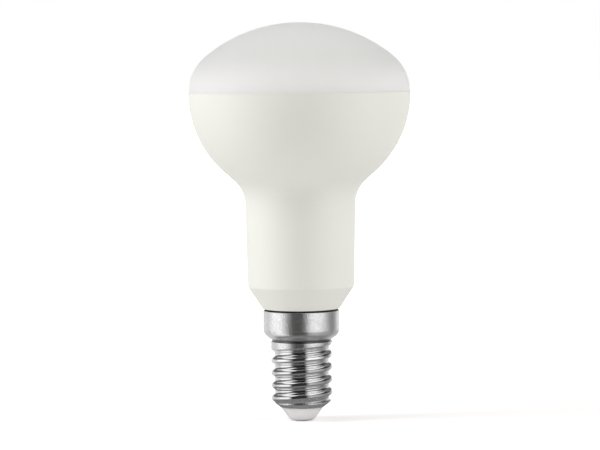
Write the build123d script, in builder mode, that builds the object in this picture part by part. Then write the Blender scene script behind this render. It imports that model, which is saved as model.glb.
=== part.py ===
from build123d import *
from math import acos, asin, atan2, ceil, cos, degrees, hypot, radians, sqrt, tan
import os

# Reflector lamp: an opal dome on a white moulded housing, with a small screw cap.
# The origin is the middle of the end contact's face, and +Z runs up the lamp's axis to the dome.

# Driving dimensions, in millimetres and degrees

# End contact
contact_proud = 0.15  # stands out of the insulator
contact_diameter = 3.6
contact_head = 0.65
contact_edge = 0.1
shank_diameter = 1.8
shank_cover = 1.5  # insulator above the shank

# Insulator
nose_height = 2.95  # below the cap's lip
nose_angle = 35.2  # from the axis
nose_setback = 0.13  # top of the nose, inside the cap's lip
nose_edge = 1.5
insulator_collar = 1.6  # straight side inside the cap's bore

# Screw cap
cap_length = 21.85
sheet = 0.3
lip_roll = 1.92  # how far the end is rolled in from the crests
lip_angle = 52.0  # of the rolled-in end, from the axis
lip_round = 1.6
collar_step = 1.72  # from the crests out to the collar
collar_length = 5.2  # top edge to the corner above the shoulder
collar_edge = 0.1
shoulder_drop = 1.3
shoulder_round = 1.9
crease_radius = 0.25  # ring between the shoulder and the plain band

# Knuckle thread
crest_diameter = 13.76
crest_flat = 0.03  # taken off the round crests
thread_depth = 0.83
thread_pitch = 2.822
thread_drop = 2.0  # foot of the shoulder to the middle of the groove's last turn

# Housing
rim_diameter = 50.0
housing_height = 48.65  # lower edge of the cone to the seam
cone_height = 5.05
cone_lip = 0.1  # lower edge of the cone, outside the collar
cone_edge = 0.2
neck_top_diameter = 24.78
neck_draft = 1.13
neck_edge = 1.0
neck_fillet = 7.46
flank_length = 2.84
bulge_radius = 23.8

# Diffuser
dome_rise = 15.7
dome_shoulder = 10.6
dome_setback = 0.12  # rim of the dome, inside the rim of the housing
spigot_depth = 3.0
spigot_wall = 1.6  # housing's rim around the spigot
seam_edge = 0.06

# Fits
cap_gap = 0.4  # shadow line between the housing and the collar
gap_depth = 1.0  # of the groove in the spigot behind the gap
gap_cover = 0.3  # of that groove, below the collar's edge
fit_clearance = 0.05
glue_gap = 0.2  # under the diffuser's spigot

# Heights up the axis
lip_height = contact_proud + nose_height
collar_top = lip_height + cap_length
shoulder_top = collar_top - collar_length
shoulder_foot = shoulder_top - shoulder_drop
cone_bottom = collar_top + cap_gap
neck_bottom = cone_bottom + cone_height
seam_height = cone_bottom + housing_height
spigot_bottom = seam_height - spigot_depth

# Radii
contact_radius = contact_diameter / 2
shank_radius = shank_diameter / 2
crest_radius = crest_diameter / 2
root_radius = crest_radius - thread_depth
thread_bore = root_radius - sheet
collar_radius = crest_radius + collar_step
collar_bore = collar_radius - sheet
lip_radius = crest_radius - lip_roll
nose_top_radius = lip_radius - nose_setback
nose_end_radius = nose_top_radius - nose_height * tan(radians(nose_angle))
rim_radius = rim_diameter / 2
recess_radius = rim_radius - spigot_wall
dome_radius = rim_radius - dome_setback

# Rolled-in end of the cap: the same slope outside and inside, one sheet apart
lip_slope = tan(radians(lip_angle))
lip_opening = lip_radius - sheet / cos(radians(lip_angle))
lip_outer_top = lip_height + lip_roll / lip_slope
lip_inner_top = lip_height + (thread_bore - lip_opening) / lip_slope
insulator_top = lip_inner_top + insulator_collar
shank_top = insulator_top - shank_cover

# Shoulder under the collar: the inner cone lies one sheet above the outer one
shoulder_slope = shoulder_drop / collar_step
shoulder_lift = sheet * hypot(1, shoulder_slope)


def inner_shoulder(radius):
    """Height of the cap's inner shoulder at a radius."""
    return shoulder_foot + shoulder_lift + (radius - crest_radius) * shoulder_slope


def corner(section, radius, height):
    """Corner of a half section that lies nearest to a point."""
    return section.vertices().sort_by_distance((radius, height))[0]


def cap_space(clearance, top):
    """Half section of the space in the cap above the insulator, clear of the cap's straight walls."""
    thread_wall = thread_bore - clearance
    collar_wall = collar_bore - clearance
    with BuildSketch(Plane.XZ) as space:
        with BuildLine():
            Polyline(
                (0, insulator_top),
                (thread_wall, insulator_top),
                (thread_wall, inner_shoulder(thread_wall)),
                (collar_wall, inner_shoulder(collar_wall)),
                (collar_wall, top),
                (0, top),
                close=True,
            )
        make_face()
        fillet(corner(space, collar_wall, inner_shoulder(collar_wall)), shoulder_round - sheet)
    return space.sketch


# End contact: a rivet with a flat head
with BuildPart() as centre_contact:
    with BuildSketch(Plane.XZ) as contact_section:
        with BuildLine():
            Polyline(
                (0, 0),
                (contact_radius, 0),
                (contact_radius, contact_head),
                (shank_radius, contact_head),
                (shank_radius, shank_top),
                (0, shank_top),
                close=True,
            )
        make_face()
        fillet(corner(contact_section, contact_radius, 0), contact_edge)
    revolve(axis=Axis.Z)

# Insulator: moulded round the cap's lip, with a seat for the contact
with BuildPart() as insulator:
    with BuildSketch(Plane.XZ) as insulator_section:
        with BuildLine():
            Polyline(
                (0, contact_proud),
                (nose_end_radius, contact_proud),
                (nose_top_radius, lip_height),
                (lip_opening, lip_height),
                (thread_bore, lip_inner_top),
                (thread_bore, insulator_top),
                (0, insulator_top),
                close=True,
            )
        make_face()
        fillet(corner(insulator_section, nose_end_radius, contact_proud), nose_edge)
    revolve(axis=Axis.Z)
    with Locations(Location((0, 0, contact_proud), (180, 0, 0))):
        CounterBoreHole(
            radius=shank_radius + fit_clearance,
            counter_bore_radius=contact_radius + fit_clearance,
            counter_bore_depth=contact_head - contact_proud,
            depth=shank_top - contact_proud,
        )

# Screw cap: a drawn shell with a collar, a plain band, a knuckle thread and a rolled-in end
with BuildPart() as screw_cap:
    with BuildSketch(Plane.XZ) as cap_section:
        with BuildLine():
            Polyline(
                (0, lip_height),
                (lip_radius, lip_height),
                (crest_radius, lip_outer_top),
                (crest_radius, shoulder_foot),
                (collar_radius, shoulder_top),
                (collar_radius, collar_top),
                (0, collar_top),
                close=True,
            )
        make_face()
        fillet(corner(cap_section, crest_radius, lip_outer_top), lip_round)
        fillet(corner(cap_section, collar_radius, shoulder_top), shoulder_round)
        fillet(corner(cap_section, collar_radius, collar_top), collar_edge)
        with Locations((crest_radius, shoulder_foot - crease_radius)):
            Circle(crease_radius, mode=Mode.SUBTRACT)
    revolve(axis=Axis.Z)

    # Space for the insulator and for the housing's spigot
    with BuildSketch(Plane.XZ):
        with BuildLine():
            Polyline(
                (0, lip_height),
                (lip_opening, lip_height),
                (thread_bore, lip_inner_top),
                (thread_bore, insulator_top),
                (0, insulator_top),
                close=True,
            )
        make_face()
        add(cap_space(0, collar_top).face())
    revolve(axis=Axis.Z, mode=Mode.SUBTRACT)

    # Thread groove: a root arc and two crest arcs of one radius, along a helix that runs out in a tangent
    round_depth = thread_depth + crest_flat
    knuckle_radius = ((thread_pitch / 2) ** 2 + round_depth**2) / (4 * round_depth)
    flank_turn = degrees(asin(thread_pitch / 4 / knuckle_radius))
    crest_turn = degrees(acos(1 - crest_flat / 2 / knuckle_radius))
    clear_radius = crest_radius + thread_depth
    groove_end = shoulder_foot - thread_drop
    groove_length = ceil((groove_end - lip_height) / thread_pitch) * thread_pitch
    groove_start = groove_end - groove_length
    run_out = sqrt(clear_radius**2 - root_radius**2)
    with BuildLine():
        helix = Helix(thread_pitch, groove_length, root_radius, center=(0, 0, groove_start))
        Line(helix @ 1, helix @ 1 + run_out * (helix % 1))
    with BuildSketch(Plane.XZ.shift_origin((0, 0, groove_start))):
        with BuildLine():
            root = JernArc((root_radius, 0), (0, 1), knuckle_radius, -flank_turn)
            crest = JernArc(root @ 1, root % 1, knuckle_radius, flank_turn - crest_turn)
            Polyline(crest @ 1, (clear_radius, (crest @ 1).Y), (clear_radius, 0))
            mirror(about=Plane.XZ)
        make_face()
    sweep(is_frenet=True, mode=Mode.SUBTRACT)

# Housing: bulge, straight flank and neck run into each other, above a cone and the cap's spigot
draft = radians(neck_draft)
bend_radii = bulge_radius + neck_fillet
overhang = rim_radius - neck_top_diameter / 2
bend_reach = overhang - bulge_radius - neck_fillet * cos(draft)
bulge_turn = atan2(bend_radii, flank_length) + asin(bend_reach / hypot(bend_radii, flank_length))
recess_floor = spigot_bottom - glue_gap
cone_radius = collar_radius + cone_lip
gap_floor = collar_bore - fit_clearance - gap_depth
with BuildPart() as housing:
    with BuildSketch(Plane.XZ) as housing_section:
        with BuildLine():
            bulge = JernArc((rim_radius, seam_height), (0, -1), bulge_radius, -degrees(bulge_turn))
            flank = Line(bulge @ 1, bulge @ 1 + flank_length * (bulge % 1))
            hollow = JernArc(flank @ 1, flank % 1, neck_fillet, degrees(bulge_turn - draft))
            neck_top = hollow @ 1
            neck_radius = neck_top.X - (neck_top.Y - neck_bottom) * tan(draft)
            Polyline(
                neck_top,
                (neck_radius, neck_bottom),
                (cone_radius, cone_bottom),
                (0, cone_bottom),
                (0, recess_floor),
                (recess_radius, recess_floor),
                (recess_radius, seam_height),
                (rim_radius, seam_height),
            )
        make_face()
        fillet(corner(housing_section, rim_radius, seam_height), seam_edge)
        fillet(corner(housing_section, neck_radius, neck_bottom), neck_edge)
        fillet(corner(housing_section, cone_radius, cone_bottom), cone_edge)
        add(cap_space(fit_clearance, cone_bottom).face())
        with Locations((gap_floor, cone_bottom)):
            Rectangle(
                gap_depth, cap_gap + gap_cover, align=(Align.MIN, Align.MAX), mode=Mode.SUBTRACT
            )
    revolve(axis=Axis.Z)

# Diffuser: a flat crown that turns down into a rounder shoulder, with a spigot in the housing's rim
crown_height = seam_height + dome_rise
crown_bulk = dome_rise**2 + dome_radius**2 - 2 * dome_radius * dome_shoulder
crown_radius = crown_bulk / (2 * (dome_rise - dome_shoulder))
shoulder_turn = atan2(crown_radius - dome_rise, dome_radius - dome_shoulder)
spigot_radius = recess_radius - fit_clearance
with BuildPart() as diffuser:
    with BuildSketch(Plane.XZ) as diffuser_section:
        with BuildLine():
            shoulder = JernArc((dome_radius, seam_height), (0, 1), dome_shoulder, degrees(shoulder_turn))
            TangentArc(shoulder @ 1, (0, crown_height), tangent=shoulder % 1)
            Polyline(
                (0, crown_height),
                (0, spigot_bottom),
                (spigot_radius, spigot_bottom),
                (spigot_radius, seam_height),
                (dome_radius, seam_height),
            )
        make_face()
        fillet(corner(diffuser_section, dome_radius, seam_height), seam_edge)
    revolve(axis=Axis.Z)

centre_contact.part.label = "centre_contact"
insulator.part.label = "insulator"
screw_cap.part.label = "screw_cap"
housing.part.label = "housing"
diffuser.part.label = "diffuser"

os.makedirs("parts", exist_ok=True)
for piece in (centre_contact, insulator, screw_cap, housing, diffuser):
    export_step(piece.part, f"parts/{piece.part.label}.step")
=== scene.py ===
from math import cos, radians, sin

import bpy
from mathutils import Matrix, Vector

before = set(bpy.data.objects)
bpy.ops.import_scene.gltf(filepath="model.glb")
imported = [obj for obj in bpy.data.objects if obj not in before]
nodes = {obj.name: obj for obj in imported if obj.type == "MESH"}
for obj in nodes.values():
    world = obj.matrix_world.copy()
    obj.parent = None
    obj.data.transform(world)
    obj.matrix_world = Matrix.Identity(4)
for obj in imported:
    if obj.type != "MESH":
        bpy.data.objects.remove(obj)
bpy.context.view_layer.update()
scene = bpy.context.scene

MM = 0.001

# Where a finish or a painted shade changes, by height or by radius from the axis
SEAM = 74.0 * MM
SPIGOT_RADIUS = (8.30 * MM, 8.36 * MM)
SPIGOT_TOP = (25.4 * MM, 25.5 * MM)
THREAD_TOP = (15.9 * MM, 16.5 * MM)
ROLLED_END = (5.3 * MM, 4.6 * MM)
CREASE_FOOT = (17.92 * MM, 17.98 * MM)
CREASE_TOP = (18.46 * MM, 18.50 * MM)

# Rings on the floor and heights in the room where the light changes
FOOT = (0.018, 0.026)
NEAR_FLOOR = (0.10, 0.16)
LIT_FLOOR = (0.12, 0.35)
BOX_TOP = (sin(radians(7)), sin(radians(13)))
CEILING_EDGE = (sin(radians(42)), sin(radians(50)))


# Shader helpers
def new_material(name):
    """An empty node material; returns it with its tree and its principled shader."""
    mat = bpy.data.materials.new(name)
    mat.use_nodes = True
    tree = mat.node_tree
    return mat, tree, tree.nodes["Principled BSDF"]


def add_node(tree, kind, **settings):
    made = tree.nodes.new(kind)
    for key, value in settings.items():
        setattr(made, key, value)
    return made


def set_in(made, **values):
    """Sets sockets by name, with _ for a space."""
    for key, value in values.items():
        made.inputs[key.replace("_", " ")].default_value = value


def object_coords(tree):
    return add_node(tree, "ShaderNodeTexCoord").outputs["Object"]


def noise(tree, coords, grain_mm, detail=2.0):
    """Noise whose grain is about that many millimetres."""
    made = add_node(tree, "ShaderNodeTexNoise")
    set_in(made, Scale=1 / (grain_mm * MM), Detail=detail)
    tree.links.new(coords, made.inputs["Vector"])
    return made.outputs["Fac"]


def remap(tree, value, low, high, to_low, to_high, smooth=False):
    made = add_node(tree, "ShaderNodeMapRange")
    if smooth:
        made.interpolation_type = "SMOOTHSTEP"
    for index, number in enumerate((low, high, to_low, to_high), start=1):
        made.inputs[index].default_value = number
    tree.links.new(value, made.inputs[0])
    return made.outputs[0]


def mix_colour(tree, factor, first, second):
    made = add_node(tree, "ShaderNodeMix", data_type="RGBA")
    tree.links.new(factor, made.inputs["Factor"])
    for socket, colour in ((made.inputs[6], first), (made.inputs[7], second)):
        if isinstance(colour, tuple):
            socket.default_value = (*colour, 1)
        else:
            tree.links.new(colour, socket)
    return made.outputs[2]


def math_node(tree, operation, first, second):
    made = add_node(tree, "ShaderNodeMath", operation=operation)
    for socket, value in zip(made.inputs, (first, second)):
        if isinstance(value, (int, float)):
            socket.default_value = value
        else:
            tree.links.new(value, socket)
    return made.outputs[0]


def bump(tree, shader, height, depth_mm):
    made = add_node(tree, "ShaderNodeBump")
    set_in(made, Strength=1.0, Distance=depth_mm * MM)
    tree.links.new(height, made.inputs["Height"])
    tree.links.new(made.outputs["Normal"], shader.inputs["Normal"])


def height_of(tree, coords):
    split = add_node(tree, "ShaderNodeSeparateXYZ")
    tree.links.new(coords, split.inputs[0])
    return split.outputs["Z"]


def from_axis(tree, coords):
    flat = add_node(tree, "ShaderNodeVectorMath", operation="MULTIPLY")
    tree.links.new(coords, flat.inputs[0])
    flat.inputs[1].default_value = (1, 1, 0)
    length = add_node(tree, "ShaderNodeVectorMath", operation="LENGTH")
    tree.links.new(flat.outputs["Vector"], length.inputs[0])
    return length.outputs["Value"]


def round_wall(tree, coords, levels):
    """Colour by the bearing round the object, from stops of (degrees, colour); 0 is the camera's side."""
    split = add_node(tree, "ShaderNodeSeparateXYZ")
    tree.links.new(coords, split.inputs[0])
    depth = math_node(tree, "MULTIPLY", split.outputs["Y"], -1.0)
    bearing = math_node(tree, "ARCTAN2", split.outputs["X"], depth)
    ramp = add_node(tree, "ShaderNodeValToRGB")
    stops = ramp.color_ramp.elements
    while len(stops) < len(levels):
        stops.new(0.5)
    for stop, (angle, colour) in zip(stops, levels):
        stop.position = angle / 360 + 0.5
        stop.color = (*colour, 1)
    tree.links.new(remap(tree, bearing, -radians(180), radians(180), 0.0, 1.0), ramp.inputs["Fac"])
    return ramp.outputs["Color"]


def ray_kinds(tree):
    """The camera's rays, and those that metal sends on."""
    rays = add_node(tree, "ShaderNodeLightPath").outputs
    return rays["Is Camera Ray"], rays["Is Glossy Ray"]


def grey(level):
    return (level, level, level)


# Housing: satin white moulding, with a fine spark-eroded grain, and painted shade on the spigot inside the
# cap, standing in for the dark shadow gap under the collar
housing_mat, tree, shader = new_material("housing_white")
coords = object_coords(tree)
grain = noise(tree, coords, 0.22)
cloud = noise(tree, coords, 14.0, detail=3.0)
white = mix_colour(tree, cloud, (0.758, 0.778, 0.727), (0.774, 0.794, 0.743))
# Painted shade: near-black base colour on the spigot inside the cap, where the gap under the collar lies in
# shadow
skin = remap(tree, from_axis(tree, coords), *SPIGOT_RADIUS, 0.0, 1.0)
above = remap(tree, height_of(tree, coords), *SPIGOT_TOP, 0.0, 1.0)
outside_painted_gap_shade = math_node(tree, "MAXIMUM", skin, above)
tree.links.new(mix_colour(tree, outside_painted_gap_shade, (0.10, 0.10, 0.10), white), shader.inputs["Base Color"])
tree.links.new(remap(tree, grain, 0.3, 0.7, 0.40, 0.50), shader.inputs["Roughness"])
bump(tree, shader, grain, 0.006)
set_in(shader, Specular_IOR_Level=0.4)

# Diffuser: thin opal moulding, which lets light through and so evens out its shading
diffuser_mat, tree, shader = new_material("diffuser_opal")
coords = object_coords(tree)
cloud = noise(tree, coords, 9.0, detail=3.0)
grain = noise(tree, coords, 0.3)
opal = mix_colour(tree, cloud, (0.953, 0.963, 0.962), (0.963, 0.973, 0.972))
tree.links.new(opal, shader.inputs["Base Color"])
tree.links.new(remap(tree, grain, 0.3, 0.7, 0.42, 0.52), shader.inputs["Roughness"])
bump(tree, shader, grain, 0.004)
set_in(shader, Specular_IOR_Level=0.35)
through = add_node(tree, "ShaderNodeBsdfTranslucent")
tree.links.new(opal, through.inputs["Color"])
both = add_node(tree, "ShaderNodeMixShader")
share = remap(tree, height_of(tree, coords), SEAM, SEAM + 9 * MM, 0.42, 0.70, smooth=True)
tree.links.new(share, both.inputs["Fac"])
tree.links.new(shader.outputs["BSDF"], both.inputs[1])
tree.links.new(through.outputs["BSDF"], both.inputs[2])
tree.links.new(both.outputs["Shader"], tree.nodes["Material Output"].inputs["Surface"])

# Screw cap: nickel plate, bright on the thread and satin on the collar, the plain band and the rolled-in
# end, with painted shade in the crease under the shoulder
cap_mat, tree, shader = new_material("cap_nickel")
coords = object_coords(tree)
grain = noise(tree, coords, 0.20, detail=1.0)
cloud = noise(tree, coords, 2.5)
level = height_of(tree, coords)
upper = remap(tree, level, *THREAD_TOP, 0.0, 1.0, smooth=True)
lower = remap(tree, level, *ROLLED_END, 0.0, 1.0, smooth=True)
satin = math_node(tree, "MAXIMUM", upper, lower)
tint = mix_colour(tree, cloud, (0.89, 0.89, 0.89), (0.94, 0.94, 0.94))
speckled = remap(tree, satin, 0.0, 1.0, 0.2, 1.0)
fleck = math_node(tree, "MULTIPLY", remap(tree, grain, 0.35, 0.65, 0.0, 0.45), speckled)
tint = mix_colour(tree, fleck, tint, grey(0.45))
# Painted shade: a dark grey band in the crease where the collar's shoulder meets the plain band
over = remap(tree, level, *CREASE_FOOT, 0.0, 1.0)
below = remap(tree, level, *CREASE_TOP, 1.0, 0.0)
painted_crease_shade = math_node(tree, "MULTIPLY", over, below)
tree.links.new(mix_colour(tree, painted_crease_shade, tint, grey(0.26)), shader.inputs["Base Color"])
tree.links.new(remap(tree, satin, 0.0, 1.0, 0.04, 0.22), shader.inputs["Roughness"])
tree.links.new(remap(tree, satin, 0.0, 1.0, 1.0, 0.93), shader.inputs["Metallic"])
grainy = math_node(tree, "MULTIPLY", grain, remap(tree, satin, 0.0, 1.0, 0.03, 1.0))
bump(tree, shader, grainy, 0.036)

# Insulator: smooth pale moulding
insulator_mat, tree, shader = new_material("insulator_pale")
coords = object_coords(tree)
cloud = noise(tree, coords, 3.0, detail=3.0)
grain = noise(tree, coords, 0.15)
tint = mix_colour(tree, cloud, (0.822, 0.834, 0.838), (0.852, 0.864, 0.868))
tree.links.new(tint, shader.inputs["Base Color"])
tree.links.new(remap(tree, grain, 0.3, 0.7, 0.32, 0.42), shader.inputs["Roughness"])
bump(tree, shader, grain, 0.003)
set_in(shader, Subsurface_Weight=0.6, Subsurface_Scale=0.0015, Subsurface_Radius=(1.0, 1.0, 1.0))

# End contact: dull plated rivet
contact_mat, tree, shader = new_material("contact_plated")
coords = object_coords(tree)
grain = noise(tree, coords, 0.12, detail=3.0)
cloud = noise(tree, coords, 1.0)
tint = mix_colour(tree, cloud, (0.82, 0.82, 0.81), (0.89, 0.89, 0.88))
tree.links.new(tint, shader.inputs["Base Color"])
tree.links.new(remap(tree, grain, 0.3, 0.7, 0.45, 0.60), shader.inputs["Roughness"])
bump(tree, shader, grain, 0.005)
set_in(shader, Metallic=0.6)

finishes = {
    "housing": (housing_mat, "housing"),
    "diffuser": (diffuser_mat, "diffuser"),
    "screw_cap": (cap_mat, "cap_metal"),
    "insulator": (insulator_mat, "insulator"),
    "centre_contact": (contact_mat, "contact_metal"),
}
for name, (finish, slot) in finishes.items():
    nodes[name].data.materials.clear()
    nodes[name].data.materials.append(finish)

# Studio that lights the object, by bearing: a dim warm camera side, and a dimmer back
FRONT = (0.612, 0.566, 0.543)
STUDIO = (
    (-180, grey(0.45)),
    (-104, grey(0.40)),
    (-92, FRONT),
    (98, FRONT),
    (110, grey(0.30)),
    (136, grey(0.45)),
    (180, grey(0.45)),
)

# What metal shows of it: a dark camera side, a soft box on each hand and a pale back, over a dimmer floor
ROOM = (
    (-180, grey(0.9)),
    (-110, grey(0.7)),
    (-98, grey(1.2)),
    (-66, grey(1.2)),
    (-44, grey(0.35)),
    (-30, grey(0.03)),
    (10, grey(0.03)),
    (24, grey(1.2)),
    (60, grey(1.2)),
    (95, grey(0.2)),
    (115, grey(0.2)),
    (140, grey(0.9)),
    (180, grey(0.9)),
)
UNDERFOOT = (
    (-180, grey(0.8)),
    (-110, grey(0.6)),
    (-80, grey(1.0)),
    (-50, grey(1.0)),
    (-36, grey(0.03)),
    (14, grey(0.03)),
    (30, grey(0.5)),
    (100, grey(0.25)),
    (180, grey(0.8)),
)
CEILING = (
    (-180, grey(0.9)),
    (-60, grey(1.2)),
    (-32, grey(0.1)),
    (14, grey(0.1)),
    (40, grey(1.2)),
    (100, grey(0.9)),
    (180, grey(0.9)),
)

# Floor: pale and lit round the object, plain white further out; metal sees it as part of the room
floor_mesh = bpy.data.meshes.new("floor")
half = 6.0
floor_mesh.from_pydata(
    [(-half, -half, 0), (half, -half, 0), (half, half, 0), (-half, half, 0)], [], [(0, 1, 2, 3)]
)
floor = bpy.data.objects.new("floor", floor_mesh)
scene.collection.objects.link(floor)
floor_mat, tree, shader = new_material("floor_pale")
coords = object_coords(tree)
reach = from_axis(tree, coords)
seen, in_metal = ray_kinds(tree)
pale = mix_colour(tree, noise(tree, coords, 1.2, detail=3.0), grey(0.92), grey(0.94))
tree.links.new(mix_colour(tree, in_metal, pale, grey(0.0)), shader.inputs["Base Color"])
set_in(shader, Roughness=0.9, Specular_IOR_Level=0.0)
# For metal, the dim ring round the foot is a painted shadow, standing in for the object's own shadow on the
# floor
beyond = remap(tree, reach, *FOOT, 0.0, 1.0, smooth=True)
around = mix_colour(tree, beyond, grey(0.2), round_wall(tree, coords, UNDERFOOT))
far = remap(tree, reach, *NEAR_FLOOR, 0.0, 1.0, smooth=True)
around = mix_colour(tree, far, around, round_wall(tree, coords, ROOM))
tree.links.new(mix_colour(tree, in_metal, grey(1.0), around), shader.inputs["Emission Color"])
glow = math_node(tree, "MULTIPLY", seen, remap(tree, reach, *LIT_FLOOR, 0.25, 1.0, smooth=True))
tree.links.new(math_node(tree, "MAXIMUM", glow, in_metal), shader.inputs["Emission Strength"])
floor_mesh.materials.append(floor_mat)

# World: white to the camera, the studio to the object, the room to metal
world = bpy.data.worlds.new("studio")
scene.world = world
world.use_nodes = True
tree = world.node_tree
back = tree.nodes["Background"]
direction = add_node(tree, "ShaderNodeTexCoord").outputs["Generated"]
around = round_wall(tree, direction, STUDIO)
rise = height_of(tree, direction)
level = remap(tree, rise, *BOX_TOP, 1.0, 0.2, smooth=True)
overhead = remap(tree, rise, *CEILING_EDGE, 0.0, 1.0, smooth=True)
room = mix_colour(tree, level, grey(0.0), round_wall(tree, direction, ROOM))
room = mix_colour(tree, overhead, room, round_wall(tree, direction, CEILING))
seen, in_metal = ray_kinds(tree)
around = mix_colour(tree, in_metal, around, room)
tree.links.new(mix_colour(tree, seen, around, grey(1.0)), back.inputs["Color"])
set_in(back, Strength=1.0)


# Lamps: two soft boxes on each side; metal sees the room's boxes in their place
def soft_box(name, azimuth, elevation, distance, width, tall, radiance):
    """Azimuth 0 is the camera's side and positive is to its right; radiance is that of the lit face."""
    lamp = bpy.data.lights.new(name, "AREA")
    lamp.shape = "RECTANGLE"
    lamp.size, lamp.size_y = width, tall
    lamp.energy = radiance * 4 * width * tall
    box = bpy.data.objects.new(name, lamp)
    scene.collection.objects.link(box)
    a, e = radians(azimuth), radians(elevation)
    out = Vector((sin(a) * cos(e), -cos(a) * cos(e), sin(e)))
    box.location = Vector((0, 0, 0.045)) + distance * out
    box.rotation_mode = "QUATERNION"
    box.rotation_quaternion = out.to_track_quat("Z", "Y")
    box.visible_camera = False
    box.visible_glossy = False


LAMPS = (
    ("left_high", -76, 42, 0.9, 0.45, 0.55, 3.7),
    ("left_side", -88, 20, 0.9, 0.36, 0.35, 2.7),
    ("right_high", 75, 42, 0.9, 0.35, 0.55, 2.4),
    ("right_side", 90, 20, 0.9, 0.30, 0.35, 3.7),
)
for lamp in LAMPS:
    soft_box(*lamp)

# Camera: the photo's, a long lens a little above the middle, with a slight roll
FOCAL_PX, SCALE = 3000.0, 4.4406
pitch, roll = radians(3.35), radians(0.532)
target = Vector((-0.114, 0, 44.135)) * MM
forward = Vector((0, cos(pitch), -sin(pitch)))
right, up = Vector((1, 0, 0)), Vector((0, sin(pitch), cos(pitch)))
turned_right = right * cos(roll) - up * sin(roll)
turned_up = up * cos(roll) + right * sin(roll)
camera = bpy.data.cameras.new("camera")
camera.sensor_width = 36.0
camera.lens = FOCAL_PX / 600 * camera.sensor_width
camera.clip_start, camera.clip_end = 0.05, 50.0
eye = bpy.data.objects.new("camera", camera)
scene.collection.objects.link(eye)
axes = Matrix((turned_right, turned_up, -forward)).transposed()
eye.matrix_world = Matrix.Translation(target - forward * FOCAL_PX / SCALE * MM) @ axes.to_4x4()
scene.camera = eye
scene.view_settings.view_transform = "Standard"
